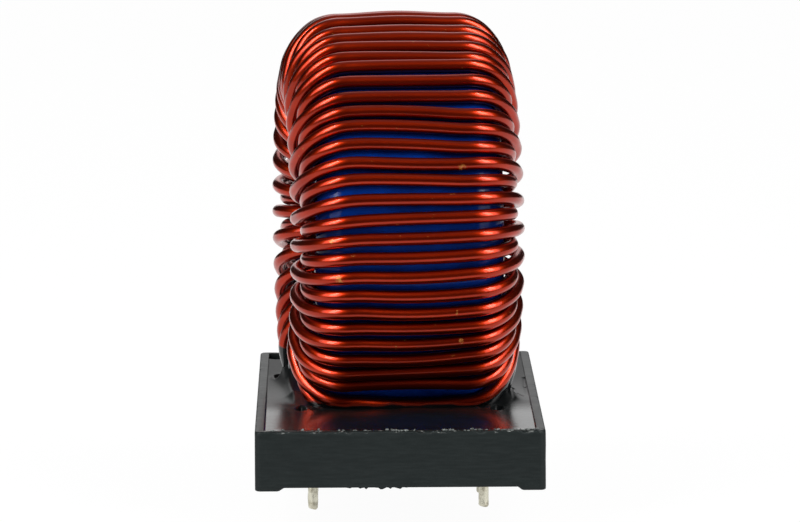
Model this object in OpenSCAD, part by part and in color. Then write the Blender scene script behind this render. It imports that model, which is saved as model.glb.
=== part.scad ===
// Toroidal choke for a circuit board: a coated ring core stands on its rim in a
// moulded tray, wound with two enamelled wires side by side, its foot cast in resin.
// X runs along the core's axis, Y along the tray, Z up. The origin is the centre of
// the face that the tray's feet stand on, where the circuit board's top would be.

/* [Core] */
// Outside diameter of the coated ring
core_od = 39; // [34:0.5:44]
// Bore of the coated ring
core_id = 23.5; // [21:0.5:26]
// Length of the ring along its axis
core_h = 18.5; // [14:0.5:22]
// Radius of the ring's four rounded edges
core_edge = 2.5; // [1:0.1:3.5]

/* [Winding] */
// Diameter of the enamelled wire
wire_d = 1.3; // [1:0.05:1.5]
// Turns of each of the two wires
turns = 30; // [20:1:32]
// Angle round the ring between the two wires of a pair
pair_angle = 5; // [4.9:0.1:5.3]
// Angle of the bare arc at the foot of the ring
bare_angle = 42; // [40:1:60]
// Slack between the wire and the core
wire_slack = 0.08; // [0.02:0.01:0.15]
// Least space between two wires that cross or nest
wire_gap = 0.12; // [0.1:0.01:0.3]
// How much further the second layer stands off than it needs to nest
layer_slack = 0.2; // [0.15:0.05:0.4]
// How far a hand-laid turn leans, at most, in degrees round the ring
lay_lean = 0.35; // [0:0.05:0.4]

/* [Tray] */
// Space from the widest turn to the tray's inside wall
side_room = 1.1; // [0.8:0.1:3]
// Length of the tray
tray_l = 57; // [46:1:70]
// Height of the tray's wall, without its feet
tray_h = 5.45; // [4.5:0.05:7]
// Thickness of the tray's walls
wall = 0.9; // [0.6:0.1:1.5]
// Thickness of the tray's floor
floor_t = 1.2; // [0.8:0.1:1.8]
// Radius of the tray's upright outside edges
tray_corner = 0.6; // [0.3:0.1:0.8]
// Height of the four feet
foot_h = 0.35; // [0.2:0.05:1]
// Width of a foot across the tray
foot_w = 2.5; // [1.5:0.1:4]
// Length of a foot along the tray
foot_l = 4; // [2:0.5:8]

/* [Pins] */
// Diameter of the tinned pins
pin_d = 1; // [0.8:0.1:1.2]
// Distance between the pins across the tray
pin_dx = 17; // [15:0.5:19]
// Distance between the pins along the tray
pin_dy = 10; // [9:0.5:12]
// How much thinner a pin's neck is, where the tray's floor holds it
pin_neck = 0.1; // [0.05:0.05:0.2]
// Length of a pin below the feet
pin_below = 5.5; // [3:0.1:8]
// Space between a pin and its hole or the wire beside it
pin_gap = 0.02; // [0.01:0.01:0.05]
// Depth of the solder round a pin's foot
solder_h = 0.9; // [0.5:0.1:1]

/* [Potting] */
// How far the resin's surface lies below the tray's rim
resin_drop = 0.3; // [0.2:0.05:1]
// Height that the resin climbs up the coil
climb_h = 1.2; // [0.5:0.1:2]
// Width of the resin's slope round the coil
climb_w = 1.1; // [0.5:0.1:1.2]
// Space between the resin and what it is cast round
resin_gap = 0.02; // [0.01:0.01:0.05]

/* [Coil seat] */
// Angle that the coil is turned to in the tray, as it was set by hand
coil_yaw = 4; // [0:0.5:5]
// Space under the coil, above the tray's floor
seat_gap = 0.3; // [0.2:0.1:2]

/* [Hidden] */

wire_r = wire_d / 2;
wire_sides = 8;
rim_rings = 3;
bore_rings = 3;
// An eight-sided wire with the round wire's section area
wire_vertex = sqrt(2 * PI / (wire_sides * sin(360 / wire_sides)));

// Radii of the wire's centre line at the rim and in the bore, and its place on the flat sides
stand_off = wire_r + wire_slack;
rim_r = core_od / 2 + stand_off;
bore_r = core_id / 2 - stand_off;
flat_x = core_h / 2 + stand_off;
corner_x = core_h / 2 - core_edge;
rim_corner_r = core_od / 2 - core_edge;
bore_corner_r = core_id / 2 + core_edge;

// The second wire nests between the first wire's turns where the bore crowds them
nest_side = bore_r * pair_angle * PI / 180 * 0.9;
nest_rise = sqrt(max(0, pow(wire_d + wire_gap, 2) - pow(nest_side, 2))) + layer_slack;

// The pins' places as the turned coil sees them; a wire's end stands close beside each pin
neck_r = (pin_d - pin_neck) / 2;
pin_to_wire = neck_r + wire_r * wire_vertex + pin_gap;
near_pin = [pin_dx / 2 * cos(coil_yaw) + pin_dy / 2 * sin(coil_yaw),
            pin_dy / 2 * cos(coil_yaw) - pin_dx / 2 * sin(coil_yaw)];
far_pin = [pin_dx / 2 * cos(coil_yaw) - pin_dy / 2 * sin(coil_yaw),
           pin_dy / 2 * cos(coil_yaw) + pin_dx / 2 * sin(coil_yaw)];
pair_pitch = (360 - bare_angle - pair_angle) / (turns - 1);
first_angle = bare_angle / 2 - 90;

// Thickness of the winding over the rim, where its corners stand out most
wound_t = (core_edge + stand_off + wire_r * wire_vertex) / cos(45 / rim_rings) - core_edge;
coil_r = rim_r + wire_r * wire_vertex;
coil_half_w = flat_x + nest_rise + wire_r * wire_vertex;
floor_z = foot_h + floor_t;
rim_z = foot_h + tray_h;
resin_z = rim_z - resin_drop;
axis_z = floor_z + seat_gap + coil_r;
tray_w = 2 * (coil_half_w + side_room + wall);
inner_w = tray_w - 2 * wall;
inner_l = tray_l - 2 * wall;
inner_corner = max(tray_corner - wall, 0.2);
pin_tip = pin_d * 0.3;
pin_top = floor_z + solder_h + pin_gap;
pin_shoulder = foot_h - pin_gap;
lead_z = floor_z + wire_r + pin_gap - axis_z;
solder_r = pin_to_wire + wire_r / 2;
cut_over = 1;
smooth = 96;

// A leaning turn has one end of its rim run a little further round than the other
function lean(k) = lay_lean * sin(137.5 * k);

// A point of the winding from its place along the axis, its radius and its angle,
// which runs from the front over the top
function ring_point(x, r, a) = [x, -r * cos(a), r * sin(a)];

// The points of one rounded corner in the (axis, radius) plane, on the polygon drawn
// round the arc so that the wire clears the core, each with its share of the advance
function corner(cx, cr, rad, from, rings, share_0, share_1) =
    [for (i = [0:rings - 1])
        let (s = (i + 0.5) / rings, a = from - 90 * s, out = rad / cos(45 / rings))
        [cx + out * cos(a), cr + out * sin(a), share_0 + (share_1 - share_0) * s]];

// The four corners of a turn: over the rim's right edge, into the bore, out of it on
// the left and up to the rim again. A second-layer wire stands off by rise at the bore.
function rim_right() = corner(corner_x, rim_corner_r, core_edge + stand_off, 90, rim_rings, 0, 0);
function bore_right(rise) = corner(corner_x, bore_corner_r, core_edge + stand_off + rise, 0, bore_rings, 0.3, 0.4);
function bore_left(rise) = corner(-corner_x, bore_corner_r, core_edge + stand_off + rise, 270, bore_rings, 0.6, 0.7);
function rim_left() = corner(-corner_x, rim_corner_r, core_edge + stand_off, 180, rim_rings, 1, 1);

// A corner's points in space for turn k of a wire that starts at angle a0
function placed(points, a0, k) =
    [for (p = points)
        let (tilt = p[2] == 0 ? lean(k) : p[2] == 1 ? -lean(k + 1) : 0)
        ring_point(p[0], p[1], a0 + pair_pitch * (k + p[2]) + tilt)];

// First wire: it comes along the rim from the front left pin and drops from the left
// side to the rear left pin. Each lead runs from the floor, close beside its pin, over
// a bend to the winding's next point.
a_angle = first_angle;
a_first_lead = [[-near_pin[0], -near_pin[1] - pin_to_wire, lead_z], ring_point(-corner_x, rim_r, a_angle),
                placed(rim_right(), a_angle, 0)[0]];
a_last_lead = [[-far_pin[0] - pin_to_wire, far_pin[1], lead_z],
               ring_point(-flat_x, rim_r, a_angle + pair_pitch * turns),
               placed(bore_left(0), a_angle, turns - 1)[bore_rings - 1]];
function a_turn(k) = concat(placed(rim_right(), a_angle, k), placed(bore_right(0), a_angle, k),
                            placed(bore_left(0), a_angle, k));
function a_link(k) = k < turns - 1 ? placed(rim_left(), a_angle, k) : [];
a_path = concat([a_first_lead[0], a_first_lead[1]], [for (k = [0:turns - 1]) each concat(a_turn(k), a_link(k))],
                [a_last_lead[1], a_last_lead[0]]);

// Second wire: it rises from the front right pin to the right side and runs out along
// the rim to the rear right pin
b_angle = first_angle + pair_angle;
b_first_lead = [[far_pin[0] + pin_to_wire / sqrt(2), -far_pin[1] - pin_to_wire / sqrt(2), lead_z],
                ring_point(flat_x, rim_r, b_angle), placed(bore_right(nest_rise), b_angle, 0)[0]];
b_last_lead = [[near_pin[0], near_pin[1] + pin_to_wire, lead_z],
               ring_point(corner_x, rim_r, b_angle + pair_pitch * (turns - 1)),
               placed(rim_left(), b_angle, turns - 2)[rim_rings - 1]];
function b_rim(k) = k > 0 ? placed(rim_right(), b_angle, k) : [];
function b_turn(k) = concat(b_rim(k), placed(bore_right(nest_rise), b_angle, k),
                            placed(bore_left(nest_rise), b_angle, k), placed(rim_left(), b_angle, k));
b_path = concat([b_first_lead[0], b_first_lead[1]], [for (k = [0:turns - 2]) each b_turn(k)],
                [b_last_lead[1], b_last_lead[0]]);

function unit(v) = v / norm(v);

// One ring of the wire's surface: square to the mean of the two stretches that meet
// there and widened in the plane of the bend, so that both keep their thickness
function wire_ring(path, i, r) =
    let (last = len(path) - 1,
         before = unit(i == 0 ? path[1] - path[0] : path[i] - path[i - 1]),
         after = unit(i == last ? path[i] - path[i - 1] : path[i + 1] - path[i]),
         along = unit(before + after),
         bend = norm(after - before) > 0.001 ? unit(after - before) : [0, 0, 0],
         out = path[i] - unit([0, path[i][1], path[i][2]]) * (core_od + core_id) / 4,
         normal = unit(out - along * (out * along)),
         side = cross(along, normal))
    [for (j = [0:wire_sides - 1])
        let (a = 360 * (j + 0.5) / wire_sides, spoke = r * (normal * cos(a) + side * sin(a)))
        path[i] + spoke + bend * (spoke * bend) * (1 / (along * after) - 1)];

// A round wire swept along a path of points
module wire(path, r) {
    rings = [for (i = [0:len(path) - 1]) wire_ring(path, i, r * wire_vertex)];
    n = wire_sides;
    last = len(path) - 1;
    walls = [for (i = [0:last - 1], j = [0:n - 1], half = [0, 1])
        let (q = [i * n + j, i * n + (j + 1) % n, (i + 1) * n + (j + 1) % n, (i + 1) * n + j])
        half == 0 ? [q[0], q[2], q[1]] : [q[0], q[3], q[2]]];
    start_cap = [for (j = [0:n - 1]) j];
    end_cap = [for (j = [n - 1:-1:0]) last * n + j];
    polyhedron([for (ring = rings) each ring], concat([start_cap], walls, [end_cap]));
}

module in_tray() {
    translate([0, 0, axis_z]) rotate([0, 0, coil_yaw]) children();
}

module rounded_rectangle(w, l, r) {
    square([w - 2 * r, l], center = true);
    square([w, l - 2 * r], center = true);
    for (x = [-1, 1], y = [-1, 1])
        translate([x * (w / 2 - r), y * (l / 2 - r)]) circle(r, $fn = smooth);
}

// The ring, grown on every side, and a little more on its flat sides
module ring(grow, flat_grow = 0) {
    depth = (core_od - core_id) / 2 + 2 * grow;
    rotate([0, 90, 0]) rotate_extrude($fn = smooth) translate([(core_od + core_id) / 4, 0])
        rounded_rectangle(depth, core_h + 2 * grow + 2 * flat_grow, core_edge + grow);
}

module at_pin(x, y) {
    translate([x * pin_dx / 2, y * pin_dy / 2, 0]) children();
}

module tray() {
    color("#2b3031") difference() {
        union() {
            translate([0, 0, foot_h]) linear_extrude(tray_h) rounded_rectangle(tray_w, tray_l, tray_corner);
            intersection() {
                linear_extrude(foot_h + cut_over / 2) rounded_rectangle(tray_w, tray_l, tray_corner);
                for (x = [-1, 1], y = [-1, 1])
                    translate([x * (tray_w - foot_w) / 2, y * (tray_l - foot_l) / 2, foot_h / 2])
                        cube([foot_w, foot_l, foot_h + cut_over], center = true);
            }
        }
        translate([0, 0, floor_z]) linear_extrude(tray_h) rounded_rectangle(inner_w, inner_l, inner_corner);
        for (x = [-1, 1], y = [-1, 1])
            at_pin(x, y) cylinder(h = floor_z + cut_over, r = neck_r + pin_gap, $fn = smooth);
    }
}

module core() {
    color("#0b2f80") in_tray() ring(0);
}

module strand_a() {
    color("#8c2412") in_tray() wire(a_path, wire_r);
}

module strand_b() {
    color("#8c2412") in_tray() wire(b_path, wire_r);
}

// A round tinned pin with a blunt tip, held in the floor's hole by its thinner neck
module pin(x, y) {
    color("#b8b8a8") at_pin(x, y) rotate_extrude($fn = smooth) union() {
        square([neck_r, pin_top]);
        translate([0, -pin_below + pin_tip]) square([pin_d / 2, pin_shoulder + pin_below - pin_tip]);
        polygon([[0, -pin_below], [pin_d / 2 - pin_tip / 2, -pin_below],
                 [pin_d / 2, -pin_below + pin_tip], [0, -pin_below + pin_tip]]);
    }
}

// The solder that joins a wire's end to its pin, with the pin and the wire cut out of it
module solder(x, y, lead) {
    d = lead[1] - lead[0];
    color("#9a9a90") difference() {
        at_pin(x, y) translate([0, 0, floor_z + pin_gap])
            cylinder(h = solder_h - pin_gap, r = solder_r, $fn = smooth);
        at_pin(x, y) cylinder(h = pin_top + cut_over, r = neck_r + pin_gap, $fn = smooth);
        in_tray() translate(lead[0]) rotate([0, acos(d[2] / norm(d)), atan2(d[1], d[0])])
            translate([0, 0, -pin_gap]) cylinder(h = norm(d), r = wire_r * wire_vertex + pin_gap, $fn = smooth);
    }
}

// The room round a pin, its solder and its lead that the resin leaves under its surface
module joint_room(pin, lead) {
    w = wire_r * wire_vertex * 1.3 + resin_gap;
    s = solder_r + resin_gap;
    low = [min(pin[0] - s, lead[0][0] - w, lead[1][0] - w), min(pin[1] - s, lead[0][1] - w, lead[1][1] - w)];
    high = [max(pin[0] + s, lead[0][0] + w, lead[1][0] + w), max(pin[1] + s, lead[0][1] + w, lead[1][1] + w)];
    in_tray() translate([low[0], low[1], -axis_z])
        cube([high[0] - low[0], high[1] - low[1], axis_z + lead[1][2] + 2 * w]);
}

// The resin's hollow slope up the coil, in bands that narrow as they rise
module climb() {
    half_chord = sqrt(pow(coil_r, 2) - pow(axis_z - resin_z, 2));
    steps = [[0, 1], [0.15, 0.5], [0.45, 0.2], [1, 0]];
    for (i = [0:2]) hull() for (s = [steps[i], steps[i + 1]])
        translate([0, 0, resin_z - 0.1 + s[0] * climb_h]) linear_extrude(0.1)
            square(2 * [flat_x + wire_d + s[1] * climb_w, half_chord + s[1] * climb_w], center = true);
}

// The cast resin: it fills the tray round the wound ring, the leads, the pins and the solder
module potting() {
    color("#101314") difference() {
        intersection() {
            translate([0, 0, floor_z + resin_gap]) linear_extrude(tray_h)
                rounded_rectangle(inner_w - 2 * resin_gap, inner_l - 2 * resin_gap, inner_corner);
            union() {
                translate([-inner_w / 2, -inner_l / 2, 0]) cube([inner_w, inner_l, resin_z]);
                rotate([0, 0, coil_yaw]) climb();
            }
        }
        in_tray() ring(wound_t + resin_gap, nest_rise * 0.5);
        joint_room(-near_pin, a_first_lead);
        joint_room([far_pin[0], -far_pin[1]], b_first_lead);
        joint_room([-far_pin[0], far_pin[1]], a_last_lead);
        joint_room(near_pin, b_last_lead);
    }
}

tray();
potting();
core();
strand_a();
strand_b();
pin(-1, -1);  // pin_front_left
pin(1, -1);  // pin_front_right
pin(-1, 1);  // pin_rear_left
pin(1, 1);  // pin_rear_right
solder(-1, -1, a_first_lead);  // solder_front_left
solder(1, -1, b_first_lead);  // solder_front_right
solder(-1, 1, a_last_lead);  // solder_rear_left
solder(1, 1, b_last_lead);  // solder_rear_right
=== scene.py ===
"""Looks of a toroidal choke: two enamelled wires on a coated ring, cast into a plastic tray with solder pins."""

import bpy
import numpy as np
from mathutils import Matrix


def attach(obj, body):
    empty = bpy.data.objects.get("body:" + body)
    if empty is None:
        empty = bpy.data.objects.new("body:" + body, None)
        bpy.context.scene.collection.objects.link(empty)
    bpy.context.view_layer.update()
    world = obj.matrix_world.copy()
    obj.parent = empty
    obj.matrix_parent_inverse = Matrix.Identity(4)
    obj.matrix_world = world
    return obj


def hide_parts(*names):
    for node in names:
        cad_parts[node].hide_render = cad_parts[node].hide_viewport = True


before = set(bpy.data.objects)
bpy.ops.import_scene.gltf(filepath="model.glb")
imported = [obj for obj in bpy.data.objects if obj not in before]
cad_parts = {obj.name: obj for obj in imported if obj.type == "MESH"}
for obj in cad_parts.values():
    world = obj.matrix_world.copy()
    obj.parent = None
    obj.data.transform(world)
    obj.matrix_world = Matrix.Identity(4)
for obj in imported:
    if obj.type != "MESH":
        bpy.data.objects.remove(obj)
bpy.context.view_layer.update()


# ---------------------------------------------------------------- ring core
# A ring pressed from iron powder, covered all over with a thick glossy blue coating.
# It stands on its rim, turned a little in the tray, and shows between the wires.
MM = 0.001
CORE_OUTER_R, CORE_BORE_R, CORE_H, CORE_EDGE = 19.5, 11.75, 18.5, 3.4
AXIS_Z = 22.70
COIL_YAW = np.radians(4.0)
CORE_BLUE = (0.0005, 0.042, 0.33, 1.0)
# The darker blue below is painted shade: the coating turns to it where wires lie close over the core
CORE_BLUE_PAINTED_SHADE = (0.001, 0.004, 0.035, 1.0)


def ring_point(x, r, angle):
    """A point of the coil: x along the axis, r from it, the angle from the front over the top.
    The coil is then turned by its yaw about the upright and lifted to the axis height."""
    y, z = -r * np.cos(angle), r * np.sin(angle)
    c, s = np.cos(COIL_YAW), np.sin(COIL_YAW)
    return np.stack(np.broadcast_arrays(c * x - s * y, s * x + c * y, z + AXIS_Z), -1)


def grid_faces(rows, columns, close_rows=False, close_columns=False):
    """Quads between neighbours of a grid of points, joined round where a direction closes."""
    i = np.arange(rows if close_rows else rows - 1)[:, None]
    j = np.arange(columns if close_columns else columns - 1)[None, :]
    i_next, j_next = (i + 1) % rows, (j + 1) % columns
    row, next_row = i * columns, i_next * columns
    corners = np.broadcast_arrays(row + j, next_row + j, next_row + j_next, row + j_next)
    return np.stack(corners, -1).reshape(-1, 4)


def end_caps(rows, columns):
    """The two flat faces that close a tube of rings: its first ring, and its last ring backwards."""
    return np.arange(columns), np.arange(rows * columns - 1, (rows - 1) * columns - 1, -1)


def put_piece(name, points, faces, material, caps=(), node=None):
    """Puts points (in mm) and faces into a mesh that rides on the part. Where the signed
    volume of the closed surface is negative, the faces are turned round to point outwards."""
    points = points.reshape(-1, 3) * MM
    a, b, c = points[faces[:, 0]], points[faces[:, 1]], points[faces[:, 2]]
    d = points[faces[:, -1]]
    volume = np.einsum("ij,ij->", a, np.cross(b, c)) + np.einsum("ij,ij->", a, np.cross(c, d))
    listed = faces.tolist() + [list(cap) for cap in caps]
    if volume < 0:
        listed = [face[::-1] for face in listed]
    mesh = bpy.data.meshes.new(name)
    mesh.from_pydata(points.tolist(), [], listed)
    mesh.polygons.foreach_set("use_smooth", np.ones(len(mesh.polygons), dtype=bool))
    mesh.materials.append(material)
    piece = bpy.data.objects.new(name, mesh)
    bpy.context.scene.collection.objects.link(piece)
    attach(piece, "root")
    if node:
        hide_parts(node)


class Shade:
    """A shader socket that takes part in sums: an operator on it adds a Math node."""

    def __init__(self, tree, socket=None):
        self.tree, self.socket = tree, socket

    def node(self, kind, settings=(), sockets=(), out=0):
        """Adds any node: its settings first, then the values or links of its sockets."""
        made = self.tree.nodes.new(kind)
        for key, value in dict(settings).items():
            setattr(made, key, value)
        for key, value in dict(sockets).items():
            if isinstance(value, Shade):
                self.tree.links.new(value.socket, made.inputs[key])
            else:
                made.inputs[key].default_value = value
        return Shade(self.tree, made.outputs[out])

    def math(self, operation, *values):
        """Adds a Math node on the values given, in their order."""
        return self.node("ShaderNodeMath", {"operation": operation}, enumerate(values))

    def __add__(self, other):
        return self.math("ADD", self, other)

    def __sub__(self, other):
        return self.math("SUBTRACT", self, other)

    def __rsub__(self, other):
        return self.math("SUBTRACT", other, self)

    def __mul__(self, other):
        return self.math("MULTIPLY", self, other)

    def __truediv__(self, other):
        return self.math("DIVIDE", self, other)

    __radd__, __rmul__ = __add__, __mul__

    def ease(self, low, high):
        """0 below low, 1 above high, smooth between."""
        return self.node("ShaderNodeMapRange", {"interpolation_type": "SMOOTHSTEP"}, {0: self, 1: low, 2: high})

    def paint(self, below, above):
        """One colour where the value is 0, the other where it is 1."""
        return self.node("ShaderNodeMix", {"data_type": "RGBA"}, {0: self, 6: below, 7: above}, 2)

    def place(self):
        """The point's place on the piece, in metres."""
        return self.node("ShaderNodeTexCoord", out=3)

    def stretched(self, x, y, z):
        """A place scaled along each axis, to draw a pattern out."""
        return self.node("ShaderNodeMapping", {}, {0: self, 3: (x, y, z)})

    def grain(self, per_mm, detail=2.0, rough=0.5):
        """Soft noise round 0.5 with so many blotches to a millimetre."""
        sockets = {"Vector": self, "Scale": per_mm / MM, "Detail": detail, "Roughness": rough}
        return self.node("ShaderNodeTexNoise", {}, sockets)

    def near(self, point, reach):
        """1 at a point given in mm, fading to 0 at its reach."""
        sockets = {0: self, 1: tuple(c * MM for c in point)}
        distance = self.node("ShaderNodeVectorMath", {"operation": "DISTANCE"}, sockets, 1)
        return 1 - distance.ease(0.0, reach * MM)

    def axis(self, index):
        """One coordinate of a place, in mm."""
        return self.node("ShaderNodeSeparateXYZ", {}, {0: self}, index) / MM


def new_finish(name, **fixed):
    """A material with one Principled shader, whose constant sockets are given by name."""
    material = bpy.data.materials.new(name)
    material.use_nodes = True
    shader = material.node_tree.nodes["Principled BSDF"]
    for key, value in fixed.items():
        shader.inputs[key.replace("_", " ")].default_value = value
    return material, Shade(material.node_tree)


def feed(material, bump=None, depth=0.0, **varied):
    """Links what varies over the surface to the shader: named sockets, and a bump of a depth in mm."""
    tree = material.node_tree
    shader = tree.nodes["Principled BSDF"]
    for key, value in varied.items():
        tree.links.new(value.socket, shader.inputs[key.replace("_", " ")])
    if bump:
        normal = bump.node("ShaderNodeBump", {}, {"Height": bump, "Distance": depth * MM, "Strength": 1.0})
        tree.links.new(normal.socket, shader.inputs["Normal"])


def rounded_ring_profile(count):
    """The core's section as (x, r) round a rectangle with four rounded edges: the point at an
    angle lies on the box shrunk by the edge radius, plus the edge radius along that angle."""
    angle = np.linspace(0, 2 * np.pi, count, endpoint=False) + np.pi / count
    half_x, half_r = CORE_H / 2 - CORE_EDGE, (CORE_OUTER_R - CORE_BORE_R) / 2 - CORE_EDGE
    x = np.sign(np.cos(angle)) * half_x + CORE_EDGE * np.cos(angle)
    r = np.sign(np.sin(angle)) * half_r + CORE_EDGE * np.sin(angle)
    return x, r + (CORE_OUTER_R + CORE_BORE_R) / 2


coating, shade = new_finish("core_coating", Roughness=0.12, IOR=1.22)
spot = shade.place()
# Painted shade: ambient occlusion darkens the coating's blue where wires lie close over it, standing in for the shade
# in the narrow gaps between turns, with a little random tone mixed in
painted_shade_ao = shade.node("ShaderNodeAmbientOcclusion", {"samples": 8}, {"Distance": 2.2 * MM}, 1)
feed(coating, spot.grain(1.6, 1.0), 0.02,
     Base_Color=(painted_shade_ao + 0.3 * spot.grain(0.3, 2.0) - 0.15).ease(0.12, 0.75).paint(CORE_BLUE_PAINTED_SHADE, CORE_BLUE))
core_x, core_r = rounded_ring_profile(64)
core_angle = np.linspace(0, 2 * np.pi, 288, endpoint=False)[:, None]
put_piece("ring_core", ring_point(core_x, core_r, core_angle), grid_faces(288, 64, True, True), coating,
          node="core")


# ---------------------------------------------------------------- first wire
# Copper wire under clear red enamel, wound by hand as the inner layer: thirty turns over
# the rim and back through the bore. Its ends go down to the two pins on the left.
WIRE_R, WIRE_SIDES = 0.65, 16
STAND_OFF = WIRE_R + 0.10
CORNER_X = CORE_H / 2 - CORE_EDGE
RIM_CORNER_R, BORE_CORNER_R = CORE_OUTER_R - CORE_EDGE, CORE_BORE_R + CORE_EDGE
BEND_R = CORE_EDGE + STAND_OFF
TURNS = 30
PAIR_PITCH = 313.0 / 29
A_START, B_START = -69.0, -64.0
ENAMEL_RED = (0.42, 0.024, 0.003, 1.0)
ENAMEL_BROWN = (0.32, 0.018, 0.003, 1.0)
RESIN_BLACK = (0.003, 0.0035, 0.0038, 1.0)
# Lighter golden blotches on the front of the wires, set where the side lamps' highlights fall on the bends, as place
# and reach
GOLDEN_BLOTCHES = (((-6.8, -21.2, 25.3), 0.9), ((-6.6, -21.3, 23.5), 1.2), ((-4.4, -21.2, 22.0), 0.6),
           ((-5.8, -21.0, 19.5), 0.9), ((5.3, -19.9, 27.8), 0.6), ((3.1, -17.6, 12.0), 0.7),
           ((4.1, -17.4, 11.8), 0.9), ((5.3, -17.3, 11.7), 0.8), ((6.1, -18.0, 13.1), 0.6),
           ((6.2, -19.1, 30.1), 1.0))
# How each front turn was laid by hand, in degrees round the ring: shift, lean and bow
LAY_A = {1: (-2.5, 0.0, -1.0), 2: (2.22, -0.09, 0.71), 3: (2.53, 0.56, -1.12), 4: (2.08, 0.03, -0.6),
         5: (1.38, 0.01, -0.82), 6: (1.27, 0.26, -0.43), 7: (0.81, 0.39, 0.15), 8: (0.71, -0.52, 0.21),
         9: (-0.19, -0.87, 0.36), 10: (-0.96, -0.84, 0.64), 11: (-0.38, -0.03, -0.09), 12: (-1.41, -0.5, 0.19),
         13: (-2.05, -0.11, 0.44), 14: (1.1, 0.0, 0.2)}
LAY_B = {1: (-0.9, -0.63, -1.99), 2: (2.75, 0.67, -0.12), 3: (2.95, 0.26, -0.98), 4: (2.0, -0.07, -0.94),
         5: (1.82, 0.23, -0.69), 6: (1.42, 0.29, -0.18), 7: (1.14, -0.05, 0.1), 8: (0.68, -0.51, -0.35),
         9: (0.27, -0.92, 0.52), 10: (-0.44, -0.1, 0.1), 11: (0.7, 0.06, 0.17), 12: (-1.2, -0.3, 0.17),
         13: (-1.9, 0.0, 0.1), 14: (2.5, 0.1, 0.2)}


def lay_table(front_turns, seed):
    """Shift, lean and bow of every turn: those of the front, and small chance ones elsewhere."""
    chance = np.random.default_rng(seed)
    table = chance.uniform(-1, 1, (TURNS + 1, 3)) * (0.35, 0.4, 0.4)
    for turn, values in front_turns.items():
        table[turn] = values
    return table


def arc(cx, cr, start, count):
    """A quarter bend round (cx, cr) in the (x, r) plane, clockwise from an angle in degrees,
    with the direction that points away from the core."""
    angle = np.radians(start - 90 * (np.arange(count) + 0.5) / count)
    return np.stack([cx + BEND_R * np.cos(angle), cr + BEND_R * np.sin(angle), np.cos(angle), np.sin(angle)], -1)


def straight(x0, r0, x1, r1, out_x, out_r, count):
    """A straight stretch in the (x, r) plane, with the direction away from the core."""
    t = (np.arange(count) + 0.5) / count
    ones = np.ones(count)
    return np.stack([x0 + (x1 - x0) * t, r0 + (r1 - r0) * t, ones * out_x, ones * out_r], -1)


def smooth_step(value, low, high):
    """0 below low, 1 above high, and 3 t squared less 2 t cubed between, t being the share of the way."""
    t = np.clip((value - low) / (high - low), 0, 1)
    return t * t * (3 - 2 * t)


def winding(start, lay, rise, turns):
    """Centre line of a wire. One turn is a rounded rectangle in the (x, r) plane: over the rim,
    down the right side, back through the bore and up the left side. It moves out from the core
    by rise towards the bore, stands off the rim in a slight crown at the top, and its angle
    advances by one pitch between the rim and the next rim. On the rim the angle also has the
    turn's shift, its lean from end to end and its bow. A running mean rounds the angle's steps."""
    # Points on the rim, on each bend, on each flat side and in the bore
    run, bend, side, bore = 30, 16, 2, 22
    rim_r, flat_x, bore_r = CORE_OUTER_R + STAND_OFF, CORE_H / 2 + STAND_OFF, CORE_BORE_R - STAND_OFF
    outline = np.concatenate([
        straight(-CORNER_X, rim_r, CORNER_X, rim_r, 0, 1, run),
        arc(CORNER_X, RIM_CORNER_R, 90, bend),
        straight(flat_x, RIM_CORNER_R, flat_x, BORE_CORNER_R, 1, 0, side),
        arc(CORNER_X, BORE_CORNER_R, 0, bend),
        straight(CORNER_X, bore_r, -CORNER_X, bore_r, 0, -1, bore),
        arc(-CORNER_X, BORE_CORNER_R, 270, bend),
        straight(-flat_x, BORE_CORNER_R, -flat_x, RIM_CORNER_R, -1, 0, side),
        arc(-CORNER_X, RIM_CORNER_R, 180, bend)])
    count = len(outline)
    place = np.arange(count)
    right_in, right_out = run + 1, run + bend + side + bend * 0.4
    left_in, left_out = count - bend - side - bend * 0.4, count - 1
    early, late = 1 - smooth_step(place, right_in, right_out), smooth_step(place, left_in, left_out)
    share = np.interp(place, [0, right_in, right_out, left_in, left_out, count], [0, 0, 0.33, 0.67, 1, 1])
    share = np.convolve(np.pad(share, 4, mode="edge"), np.ones(9) / 9, mode="valid")
    lift = rise * smooth_step(place, run + bend * 0.5, right_out + 2)
    lift = lift * (1 - smooth_step(place, left_in - 2, count - bend * 0.5))
    across = np.clip((place + 0.5) / run, 0, 1) * 2 - 1
    turn = np.arange(turns)[:, None]
    crown = 0.12 * np.exp(-((start + PAIR_PITCH * turn - 95) / 22) ** 2)
    lift = lift + crown * (1 + np.cos(np.pi * across)) * (place < run)
    shift, lean, bow = (lay[:turns, i][:, None] for i in range(3))
    next_shift, next_lean = lay[1:turns + 1, 0][:, None], lay[1:turns + 1, 1][:, None]
    angle = start + PAIR_PITCH * (turn + share) + early * (shift + lean * across + bow * (1 - across ** 2))
    angle = (angle + late * (next_shift - next_lean)).ravel()
    window = np.hanning(17)
    angle = np.convolve(np.pad(angle, 8, mode="edge"), window / window.sum(), mode="valid").reshape(turns, count)
    x, r = outline[:, 0] + lift * outline[:, 2], outline[:, 1] + lift * outline[:, 3]
    return ring_point(x, r, np.radians(angle)).reshape(-1, 3)


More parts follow.
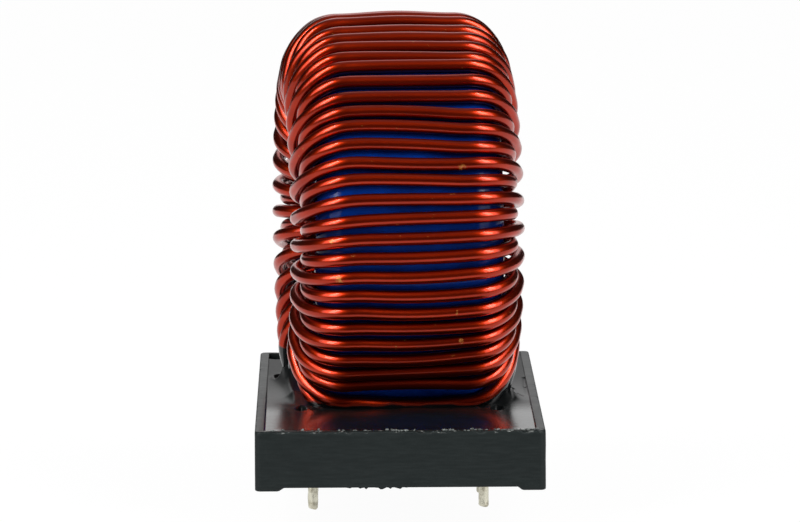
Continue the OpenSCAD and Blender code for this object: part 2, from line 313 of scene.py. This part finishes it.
def sweep(path):
    """A round wire along a path: circles square to the path, whose first spoke points away from
    the middle circle of the core. Returns points, faces and the faces that close the ends."""
    along = np.gradient(path, axis=0)
    along /= np.linalg.norm(along, axis=1, keepdims=True)
    hub = path - (0, 0, AXIS_Z)
    axis = np.array([np.cos(COIL_YAW), np.sin(COIL_YAW), 0])
    radial = hub - np.outer(hub @ axis, axis)
    out = hub - radial / np.linalg.norm(radial, axis=1, keepdims=True) * (CORE_OUTER_R + CORE_BORE_R) / 2
    out -= along * np.sum(out * along, 1, keepdims=True)
    out /= np.linalg.norm(out, axis=1, keepdims=True)
    side = np.cross(along, out)
    angle = np.linspace(0, 2 * np.pi, WIRE_SIDES, endpoint=False)[None, :, None]
    rings = path[:, None] + WIRE_R * (np.cos(angle) * out[:, None] + np.sin(angle) * side[:, None])
    faces = grid_faces(len(path), WIRE_SIDES, close_columns=True)
    return rings, faces, end_caps(len(path), WIRE_SIDES)


def lead(first, last, count=12):
    """The stretch from a pin to the winding, straight, without its last point."""
    t = np.linspace(0, 1, count, endpoint=False)[:, None]
    return np.asarray(first) * (1 - t) + np.asarray(last) * t


enamel, shade = new_finish("red_enamel", Coat_Roughness=0.06, Coat_IOR=1.45, Coat_Weight=0.5)
spot = shade.place()
height = spot.axis(2)
wet_line = 5.75 + 0.7 * spot.grain(0.35, 2.0)
wet_line = wet_line + 4.2 * spot.near((-12.5, 6, 7), 13) + 4.6 * spot.near((12.5, -6.5, 7.5), 7.5)
wet = 1 - (height - wet_line).ease(-0.25, 0.15)
fleck = spot.grain(2.2, 3.0, 0.7).ease(0.69, 0.73) * spot.grain(0.12, 1.0).ease(0.5, 0.6)
blotch = sum(spot.near(place, 1.3 * reach) for place, reach in GOLDEN_BLOTCHES) * spot.grain(3.6, 3.0, 0.8)
fleck = fleck.math("MAXIMUM", fleck, blotch.ease(0.36, 0.52))
tone = spot.stretched(0.2, 1, 1).grain(0.5, 2.0).ease(0.3, 0.75)
dry_colour = fleck.paint(tone.paint(ENAMEL_RED, ENAMEL_BROWN), (0.40, 0.17, 0.035, 1.0))
feed(enamel, spot.grain(3.0, 2.0), 0.006,
     Base_Color=wet.paint(dry_colour, RESIN_BLACK),
     Metallic=(1 - wet) * (1 - 0.3 * fleck),
     Roughness=0.31 + 0.1 * fleck - 0.21 * wet)

FLOOR_Z = 1.55
lead_z = FLOOR_Z + WIRE_R + 0.02
# The leads take the place of the winding's last points here, and of the second wire's first ones
SPARE_END, SPARE_START = 16, 46
a_line = winding(A_START, lay_table(LAY_A, 3), 0.0, TURNS)[:-SPARE_END]
a_first = lead((-8.88, -5.0 - 1.2, lead_z), a_line[0])
a_last = lead((-9.7, 5.0, lead_z), a_line[-1])
a_mesh = sweep(np.concatenate([a_first, a_line, a_last[::-1]]))
put_piece("wire_a", a_mesh[0], a_mesh[1], enamel, a_mesh[2], "strand_a")


# ---------------------------------------------------------------- second wire
# The same wire, laid beside the first. In the crowded bore it nests as a second layer on the
# first wire's turns, so its loops stand out at both sides. Its ends go to the right pins.
NEST_RISE = 1.326
b_line = winding(B_START, lay_table(LAY_B, 5), NEST_RISE, TURNS - 1)[SPARE_START:]
b_first = lead((9.35, -5.85, lead_z), b_line[0])
b_last = lead((8.5, 6.2, lead_z), b_line[-1])
b_mesh = sweep(np.concatenate([b_first, b_line, b_last[::-1]]))
put_piece("wire_b", b_mesh[0], b_mesh[1], enamel, b_mesh[2], "strand_b")


# ---------------------------------------------------------------- tray
# A shallow box moulded in dark plastic, with a small foot under each corner. Its top edge is
# scuffed and chipped from being cleaned of spilt resin.
TRAY_W, TRAY_L, RIM_Z, WALL = 27.98, 57.0, 5.8, 0.9
TRAY_DARK = (0.0038, 0.0066, 0.0066, 1.0)
TRAY_GREY = (0.0068, 0.0102, 0.0102, 1.0)
SCUFF = (0.22, 0.23, 0.22, 1.0)


def box_ring(inset, per_mm=5.0, corner=0.6, bend=6):
    """Points (x, y) round the tray's outline, a rectangle with rounded corners, shrunk by each of
    several insets: one row of points to an inset."""
    across, along = int(TRAY_W * per_mm), int(TRAY_L * per_mm)
    t_across, t_along = np.linspace(-1, 1, across), np.linspace(-1, 1, along)
    sweep_angle = np.linspace(0, np.pi / 2, bend + 2)[1:-1]
    inset = np.asarray(inset, dtype=float)[:, None]
    radius = np.maximum(corner - inset, 0.05)
    half_w, half_l = TRAY_W / 2 - inset - radius, TRAY_L / 2 - inset - radius
    sides = []
    for turn, t in enumerate((t_across, t_along, t_across, t_along)):
        reach, off = (half_w, half_l) if turn % 2 == 0 else (half_l, half_w)
        u = np.concatenate([t * np.ones_like(reach) * reach, reach + radius * np.sin(sweep_angle)], 1)
        v = np.concatenate([-(off + radius) * np.ones((1, len(t))), -(off + radius * np.cos(sweep_angle))], 1)
        for _ in range(turn):
            u, v = -v, u
        sides.append(np.stack([u, v], -1))
    return np.concatenate(sides, 1)


def soft_noise(x, y, seed, waves=24, low=0.3, high=3.0):
    """A smooth chance field: a sum of sine waves with chance directions and lengths."""
    chance = np.random.default_rng(seed)
    size = np.exp(chance.uniform(np.log(low), np.log(high), waves))
    turn, phase = chance.uniform(0, 2 * np.pi, (2, waves))
    total = sum(np.sin(k * (x * np.cos(a) + y * np.sin(a)) + p) for k, a, p in zip(size, turn, phase))
    return total / np.sqrt(waves / 2)


FOOT_H, FOOT_W, FOOT_L = 0.35, 2.6, 4.0
# The wall's section as (inset, z): up the inside, over the rim, down the outside and under the foot
tray_profile = np.array([
    (0.90, FLOOR_Z), (0.90, 3.0), (0.90, 5.50), (0.90, 5.74), (0.88, 5.785), (0.82, RIM_Z), (0.45, RIM_Z),
    (0.18, RIM_Z), (0.08, 5.77), (0.03, 5.71), (0.0, 5.62), (0.0, 5.4), (0.0, 5.0), (0.0, 4.4), (0.0, 3.6),
    (0.0, 2.8), (0.0, 2.0), (0.0, 1.2), (0.0, 0.75), (0.0, 0.55), (0.0, 0.12), (0.03, 0.05), (0.12, 0.0),
    (1.2, 0.0), (2.3, 0.0), (2.6, FOOT_H), (4.2, FOOT_H)])
# Rows of that section: the rim, the outside wall, the foot, and the wall's lower edge
RIM_ROWS, WALL_ROWS, FOOT_ROWS, LOWER_EDGE = slice(3, 12), slice(11, 20), slice(20, 27), 21
tray_xy = box_ring(tray_profile[:, 0])
tray_z = np.repeat(tray_profile[:, 1:2], tray_xy.shape[1], 1)
edge_x, edge_y = np.abs(tray_xy[..., 0]), np.abs(tray_xy[..., 1])
in_foot_x = np.clip((edge_x - (TRAY_W / 2 - FOOT_W)) / 0.3, 0, 1)
in_foot_y = np.clip((edge_y - (TRAY_L / 2 - FOOT_L)) / 0.3, 0, 1)
raised = FOOT_H * (1 - in_foot_x * in_foot_y)
tray_z[FOOT_ROWS] += raised[FOOT_ROWS] * (1 - tray_z[FOOT_ROWS] / FOOT_H).clip(0, 1)
chip = np.clip(soft_noise(tray_xy[..., 0], tray_xy[..., 1], 11, 40, 1.5, 9.0) - 0.75, 0, 1)
chip *= np.where(tray_xy[..., 1] < -TRAY_L / 2 + 1.0, 1.0, 0.25)
chip_depth = np.zeros(len(tray_profile))
chip_depth[RIM_ROWS] = (0.0, 0.0, 0.01, 0.03, 0.12, 0.20, 0.20, 0.14, 0.05)
tray_z -= chip * chip_depth[:, None]
flash = np.clip(soft_noise(tray_xy[..., 0], tray_xy[..., 1], 14, 40, 2.0, 14.0), 0, 1.5)
flash *= np.exp(-((tray_xy[..., 0] + 2.6) / 3.6) ** 6) * (tray_xy[..., 1] < 0)
tray_z[LOWER_EDGE] -= 0.12 * flash[LOWER_EDGE]
tray_points = np.concatenate([tray_xy, tray_z[..., None]], -1)
wave = 0.012 * soft_noise(tray_points[..., 0] + tray_points[..., 1], tray_points[..., 2] * 3, 12, 20, 0.2, 1.5)
tray_points[WALL_ROWS, :, :2] *= (1 + wave[WALL_ROWS, :, None] / 20)

plastic, shade = new_finish("tray_plastic", IOR=1.28)
spot = shade.place()
streak = spot.stretched(0.1, 0.1, 1).grain(5.0, 4.0, 0.7)
speck = spot.grain(6.0, 2.0, 0.6)
edge = (spot.axis(2) + 0.35 * spot.grain(1.6, 3.0, 0.7)).ease(5.72, 5.98)
filmed = spot.axis(2).ease(5.70, 5.79)
in_front = 1 - 0.8 * spot.axis(1).ease(-28.2, -27.2)
scuff = spot.stretched(0.5, 0.5, 1).grain(2.4, 4.0, 0.75).ease(0.55, 0.66) * edge * in_front
feed(plastic, (streak * 0.6 + speck * 0.4) * (1 - 0.8 * filmed), 0.012,
     Base_Color=scuff.paint(streak.ease(0.35, 0.75).paint(TRAY_DARK, TRAY_GREY), SCUFF),
     Roughness=(0.42 + 0.2 * streak) * (1 - 0.2 * filmed) + 0.2 * scuff)
put_piece("tray_shell", tray_points, grid_faces(*tray_points.shape[:2], close_columns=True), plastic,
          end_caps(*tray_points.shape[:2]), "tray")


def lumps(at, size, seed):
    """Rough crumbs: about each place (in mm) a globe of five rings, stretched to its size along x,
    y and z, whose radius varies by chance. Returns points, faces and the caps at the poles."""
    chance = np.random.default_rng(seed)
    tilt = np.linspace(0.3, np.pi - 0.3, 5)[:, None]
    turn = np.linspace(0, 2 * np.pi, 8, endpoint=False)[None]
    tilt, turn = np.broadcast_arrays(tilt, turn)
    globe = np.stack([np.sin(tilt) * np.cos(turn), np.sin(tilt) * np.sin(turn), np.cos(tilt)], -1)
    at, size = np.asarray(at, dtype=float), np.broadcast_to(size, np.shape(at))
    points = at[:, None, None] + globe * size[:, None, None] * chance.uniform(0.65, 1.25, (len(at), 5, 8, 1))
    first = 40 * np.arange(len(at))
    faces = (grid_faces(5, 8, close_columns=True) + first[:, None, None]).reshape(-1, 4)
    return points, faces, [cap for k in first for cap in (k + np.arange(8), k + np.arange(39, 31, -1))]


chips, shade = new_finish("chipped_plastic", Roughness=0.6)
spot = shade.place()
CHIP_DARK, CHIP_PALE = (0.008, 0.010, 0.010, 1), (0.11, 0.12, 0.115, 1)
feed(chips, spot.grain(5.0), 0.02, Base_Color=spot.grain(3.0, 3.0).ease(0.35, 0.65).paint(CHIP_DARK, CHIP_PALE))
chance = np.random.default_rng(41)
crumb_x = np.concatenate([chance.normal(-0.2, 0.8, 34), chance.uniform(3.8, 13.4, 46), chance.uniform(-13, -3, 14)])
crumb_size = chance.uniform(0.04, 0.13, (len(crumb_x), 1))
crumb_size = crumb_size * chance.uniform((1.0, 0.6, 0.5), (2.2, 1.2, 1.1), (len(crumb_x), 3))
crumb_y = -TRAY_L / 2 + chance.uniform(0.05, 0.9, len(crumb_x))
crumb_at = np.stack([crumb_x, crumb_y, RIM_Z + 0.5 * crumb_size[:, 2]], -1)
crumb_mesh = lumps(crumb_at, crumb_size, 42)
put_piece("rim_crumbs", crumb_mesh[0], crumb_mesh[1], chips, crumb_mesh[2])


# ---------------------------------------------------------------- pins and solder
# Four tinned round pins pushed through the tray's floor, cut off by hand with rough ends. The
# wires' ends are soldered to them, hidden in the resin.
PIN_R, PIN_DX, PIN_DY = 0.5, 17.0, 10.0
PIN_TOP = 2.47
TIN_PALE, TIN_WARM = (0.68, 0.66, 0.54, 1.0), (0.40, 0.37, 0.28, 1.0)


def rough_pin(x, y, tip, seed):
    """A pin turned about its axis: its radius is even, falls off in a quarter round at the tip, and
    has a little chance waviness."""
    t = np.concatenate([np.linspace(0, 1, 9) ** 2 * 0.25, np.linspace(0.4, PIN_TOP - tip, 40)])
    radius = PIN_R * np.sqrt(1 - (1 - np.clip(t / 0.25, 0, 1)) ** 2 * 0.6)
    angle = np.linspace(0, 2 * np.pi, 28, endpoint=False)
    rough = 1 + 0.03 * soft_noise(angle[None] * 2 + 0 * t[:, None], t[:, None] * 3, seed, 16, 0.5, 3.0)
    r = radius[:, None] * rough
    slant = 0.06 * np.cos(angle[None] - seed) * np.exp(-t[:, None] / 0.4)
    z = np.broadcast_to((tip + t)[:, None], r.shape) + slant
    return np.stack([x + r * np.cos(angle), y + r * np.sin(angle), z], -1)


tin, shade = new_finish("tinned_wire", Metallic=0.9)
spot = shade.place()
drawn = spot.stretched(1, 1, 0.15).grain(5.0, 3.0)
dull = spot.grain(1.2, 3.0).ease(0.35, 0.7)
feed(tin, drawn * 0.6 + dull * 0.4, 0.03, Base_Color=dull.paint(TIN_PALE, TIN_WARM), Roughness=0.3 + 0.25 * dull)
for side, x in (("left", -1), ("right", 1)):
    for end, y in (("front", -1), ("rear", 1)):
        tip = -5.28 if (end, side) == ("front", "right") else -5.45
        pin = rough_pin(x * PIN_DX / 2, y * PIN_DY / 2, tip, 20 + 3 * x + y)
        put_piece(f"pin_{end}_{side}_tinned", pin, grid_faces(*pin.shape[:2], close_columns=True), tin,
                  end_caps(*pin.shape[:2]), f"pin_{end}_{side}")

whisker_at = ((-9.08, -5.1, -1.15), (-9.16, -5.15, -1.4), (-9.1, -5.1, -1.65),
              (7.92, -5.1, -0.35), (7.7, -5.1, -0.5), (7.5, -5.1, -0.42))
whisker_mesh = lumps(whisker_at, (0.14, 0.12, 0.16), 43)
put_piece("pin_whiskers", whisker_mesh[0], whisker_mesh[1], tin, whisker_mesh[2])

solder, shade = new_finish("dull_solder", Metallic=1.0)
spot = shade.place()
feed(solder, spot.grain(2.0), 0.05, Base_Color=spot.grain(1.0).paint((0.5, 0.5, 0.48, 1), (0.62, 0.62, 0.6, 1)),
     Roughness=0.3 + 0.2 * spot.grain(3.0))
for name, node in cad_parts.items():
    if name.startswith("solder"):
        node.data.materials.clear()
        node.data.materials.append(solder)


# ---------------------------------------------------------------- casting resin
# Black resin poured into the tray round the coil's foot. It creeps up the wires and the walls,
# and set with a few bubbles, a short corner and rough spots.
RESIN_Z = 5.73
IN_W, IN_L = TRAY_W - 2 * WALL, TRAY_L - 2 * WALL
# Bubbles (x, y, half width, half length, depth), drops (x, y, size, height) and cracks (from, to)
BUBBLES = ((-11.95, 8.9, 0.5, 3.0, 1.2), (-9.6, -12.5, 0.45, 1.8, 1.0), (9.7, -12.6, 0.6, 1.8, 1.0))
DROPS = ((-8.5, -12.4, 0.35, 0.25), (-7.6, -12.7, 0.3, 0.2), (8.8, -12.5, 0.35, 0.25), (7.7, -12.7, 0.25, 0.15))
CRACKS = (((12.94, 8.6), (12.85, 2.0)), ((12.85, 2.0), (13.0, -4.35)), ((11.55, -1.4), (11.8, -4.2)),
          ((11.8, -4.2), (12.33, -5.7)))


def resin_height(x, y):
    """Height of the resin: level, plus slopes that fall off with the distance from the coil's foot
    and from the walls, round drops and faint ripples, less bubbles, cracks and the low corner."""
    c, s = np.cos(COIL_YAW), np.sin(COIL_YAW)
    u, v = np.abs(c * x + s * y), np.abs(c * y - s * x)
    half_u, half_v, corner = 10.9, 11.5, 3.0
    out = np.hypot(np.maximum(u - (half_u - corner), 0), np.maximum(v - (half_v - corner), 0)) - corner
    left_rear = np.exp(-((x + 10.5) / 3) ** 2 - ((y - 7) / 6) ** 2)
    front = np.clip((-y - 6) / 4, 0, 1)
    climb = (0.9 + 0.15 * soft_noise(x, y, 31, 12, 0.2, 0.8)) * (1 - front) + 1.2 * left_rear
    wall = np.minimum(IN_W / 2 - np.abs(x), IN_L / 2 - np.abs(y))
    z = RESIN_Z + climb * np.exp(-np.maximum(out, 0) / 0.6) + 0.05 * np.exp(-wall / 0.8)
    z = z + 0.006 * soft_noise(x, y, 32, 20, 0.2, 1.0)
    for px, py, wide, long, deep in BUBBLES:
        d = np.hypot((x - px) / wide, (y - py) / long)
        z = z - deep * np.clip(1 - d ** 4, 0, 1) + 0.04 * np.exp(-((d - 1.15) / 0.2) ** 2)
    for px, py, size, high in DROPS:
        z = z + high * np.exp(-((x - px) ** 2 + (y - py) ** 2) / size ** 2)
    for (ax, ay), (bx, by) in CRACKS:
        along = np.clip(((x - ax) * (bx - ax) + (y - ay) * (by - ay)) / ((bx - ax) ** 2 + (by - ay) ** 2), 0, 1)
        off = np.hypot(x - ax - along * (bx - ax), y - ay - along * (by - ay))
        z = z - 0.16 * np.exp(-(off / 0.16) ** 2)
    low = np.hypot((x + IN_W / 2 - 0.7) / 1.2, (y - IN_L / 2 + 1.2) / 2.6)
    return z - 1.6 * np.clip(1.15 - low, 0, 1)


grid_x, grid_y = np.linspace(-IN_W / 2, IN_W / 2, 170), np.linspace(-IN_L / 2, IN_L / 2, 360)
pool_x, pool_y = np.meshgrid(grid_x, grid_y)
pool = np.stack([pool_x, pool_y, resin_height(pool_x, pool_y)], -1)
rim_index = np.arange(pool_x.size).reshape(pool_x.shape)
rim_loop = np.concatenate([rim_index[0, :-1], rim_index[:-1, -1], rim_index[-1, :0:-1], rim_index[:0:-1, 0]])
foot = pool.reshape(-1, 3)[rim_loop] * (1, 1, 0) + (0, 0, FLOOR_Z)
foot_loop = np.arange(len(foot)) + pool_x.size
skirt = np.stack([rim_loop, foot_loop, np.roll(foot_loop, -1), np.roll(rim_loop, -1)], -1)
resin, shade = new_finish("casting_resin", IOR=1.27)
spot = shade.place()
cloud = spot.grain(0.4, 3.0)
feed(resin, spot.grain(0.9, 2.0), 0.014, Base_Color=cloud.paint(RESIN_BLACK, (0.006, 0.0075, 0.0075, 1.0)),
     Roughness=0.19 + 0.17 * spot.axis(1).ease(-16, -9) + 0.14 * spot.axis(1).ease(-8, 14))
put_piece("resin_pool", np.concatenate([pool.reshape(-1, 3), foot]),
          np.concatenate([grid_faces(*pool_x.shape), skirt]), resin, (foot_loop[::-1],), "potting")


# ---------------------------------------------------------------- table, light and camera
# A plain white table, soft boxes in front at the left and right, a soft light overhead, and
# dark cards round the camera, out of its sight, for the dark lines along the wires.
TABLE_Z = -5.5
table_mesh = bpy.data.meshes.new("table")
table_corners = np.array([(-3, -3, 0), (3, -3, 0), (3, 3, 0), (-3, 3, 0)]) + (0, 0, TABLE_Z * MM)
table_mesh.from_pydata(table_corners.tolist(), [], [(0, 1, 2, 3)])
table = bpy.data.objects.new("table", table_mesh)
bpy.context.scene.collection.objects.link(table)


def seen_ray(shade):
    """1 for what the camera sees straight on, in a reflection or through glass."""
    rays = [shade.node("ShaderNodeLightPath", out=name) for name in
            ("Is Camera Ray", "Is Glossy Ray", "Is Transmission Ray")]
    return rays[0].math("MAXIMUM", rays[0].math("MAXIMUM", rays[0], rays[1]), rays[2])


table_white = bpy.data.materials.new("table_white")
table_white.use_nodes = True
table_white.node_tree.nodes.clear()
shade = Shade(table_white.node_tree)
paper = shade.node("ShaderNodeBsdfDiffuse", {}, {"Color": (0.86, 0.86, 0.86, 1)})
glow = shade.node("ShaderNodeEmission", {}, {"Color": (1, 1, 1, 1), "Strength": 1.0})
lit = shade.node("ShaderNodeMixShader", {}, {0: seen_ray(shade) * 0.965, 1: paper, 2: glow})
table_white.node_tree.links.new(lit.socket, table_white.node_tree.nodes.new("ShaderNodeOutputMaterial").inputs[0])
table_mesh.materials.append(table_white)

card_black = bpy.data.materials.new("card_black")
card_black.use_nodes = True
card_black.node_tree.nodes["Principled BSDF"].inputs["Base Color"].default_value = (0.012, 0.011, 0.011, 1)
card_black.node_tree.nodes["Principled BSDF"].inputs["Roughness"].default_value = 0.9
card_turn, card_rise = np.meshgrid(np.radians(np.linspace(-166, 166, 60)), np.radians(np.linspace(-0.5, 76, 16)))
CARD_R = 1.25
card_points = np.stack([CARD_R * np.sin(card_turn) * np.cos(card_rise), -CARD_R * np.cos(card_turn) * np.cos(card_rise),
                        CARD_R * np.sin(card_rise)], -1).reshape(-1, 3)
near_points = np.array([(-0.8, -1.24, 0.001), (0.8, -1.24, 0.001), (0.8, -0.078, 0.001), (-0.8, -0.078, 0.001)])
near_points = near_points + (0, 0, TABLE_Z * MM)
for name, points, faces in (("dark_card", card_points, grid_faces(*card_turn.shape)),
                            ("near_card", near_points, np.array([(0, 1, 2, 3)]))):
    card_mesh = bpy.data.meshes.new(name)
    card_mesh.from_pydata(points.tolist(), [], faces.tolist())
    card_mesh.materials.append(card_black)
    card = bpy.data.objects.new(name, card_mesh)
    card.visible_camera = card.visible_diffuse = card.visible_shadow = False
    bpy.context.scene.collection.objects.link(card)

ceiling_grey = bpy.data.materials.new("ceiling_grey")
ceiling_grey.use_nodes = True
ceiling_grey.node_tree.nodes.clear()
shade = Shade(ceiling_grey.node_tree)
dim = shade.node("ShaderNodeEmission", {}, {"Color": (0.26, 0.26, 0.26, 1), "Strength": 1.0})
ceiling_grey.node_tree.links.new(dim.socket, ceiling_grey.node_tree.nodes.new("ShaderNodeOutputMaterial").inputs[0])
ceiling_mesh = bpy.data.meshes.new("ceiling")
ceiling_corners = [(-0.62, -0.34, 1.1), (0.62, -0.34, 1.1), (0.62, 0.62, 1.1), (-0.62, 0.62, 1.1)]
ceiling_mesh.from_pydata(ceiling_corners, [], [(3, 2, 1, 0)])
ceiling_mesh.materials.append(ceiling_grey)
ceiling = bpy.data.objects.new("ceiling", ceiling_mesh)
ceiling.visible_camera = False
bpy.context.scene.collection.objects.link(ceiling)


COIL_MIDDLE = np.array([0, 0, 22])


def soft_box(name, turn, rise, distance, width, height, watts):
    """A rectangular lamp at an azimuth and elevation from the camera's side, turned to the coil."""
    turn, rise = np.radians(turn), np.radians(rise)
    back = np.array([np.sin(turn) * np.cos(rise), -np.cos(turn) * np.cos(rise), np.sin(rise)])
    right = np.cross([0, 0, 1], back)
    right = right / np.linalg.norm(right)
    lamp = bpy.data.lights.new(name, "AREA")
    lamp.shape, lamp.size, lamp.size_y, lamp.energy = "RECTANGLE", width, height, watts
    holder = bpy.data.objects.new(name, lamp)
    frame_axes = np.eye(4)
    frame_axes[:3, 0], frame_axes[:3, 1], frame_axes[:3, 2] = right, np.cross(back, right), back
    frame_axes[:3, 3] = COIL_MIDDLE * MM + back * distance
    holder.matrix_world = Matrix(frame_axes.tolist())
    bpy.context.scene.collection.objects.link(holder)


soft_box("soft_box_left", -50, 26, 0.75, 0.56, 0.66, 2.9)
soft_box("soft_box_left_core", -46, 32, 0.74, 0.20, 0.46, 2.7)
soft_box("soft_box_left_bulb", -46, 54, 0.73, 0.14, 0.08, 1.0)
soft_box("soft_box_right", 52, 26, 0.75, 0.56, 0.66, 2.9)
soft_box("soft_box_right_core", 49, 32, 0.74, 0.20, 0.46, 2.4)
soft_box("soft_box_right_bulb", 49, 54, 0.73, 0.14, 0.08, 0.7)

world = bpy.data.worlds.new("studio")
bpy.context.scene.world = world
world.use_nodes = True
shade = Shade(world.node_tree)
sky = world.node_tree.nodes["Background"]
world.node_tree.links.new(seen_ray(shade).paint((0.55, 0.55, 0.55, 1), (1, 1, 1, 1)).socket, sky.inputs["Color"])

bpy.context.scene.view_settings.view_transform = "Standard"
CAMERA_AT = np.array([-6.24, -664.64, 99.81])
YAW, DIP, ROLL = np.radians([-0.566, 6.950, -0.259])
ahead = np.array([-np.sin(YAW) * np.cos(DIP), np.cos(YAW) * np.cos(DIP), -np.sin(DIP)])
level = np.array([np.cos(YAW), np.sin(YAW), 0])
upward = np.cross(level, ahead)
camera = bpy.data.objects.new("camera", bpy.data.cameras.new("camera"))
camera.data.sensor_fit, camera.data.sensor_width, camera.data.lens = "HORIZONTAL", 36.0, 301.43
camera.data.clip_start, camera.data.clip_end = 0.01, 20.0
camera_axes = np.eye(4)
camera_axes[:3, 0] = np.cos(ROLL) * level + np.sin(ROLL) * upward
camera_axes[:3, 1] = np.cos(ROLL) * upward - np.sin(ROLL) * level
camera_axes[:3, 2] = -ahead
camera_axes[:3, 3] = CAMERA_AT * MM
camera.matrix_world = Matrix(camera_axes.tolist())
bpy.context.scene.collection.objects.link(camera)
bpy.context.scene.camera = camera
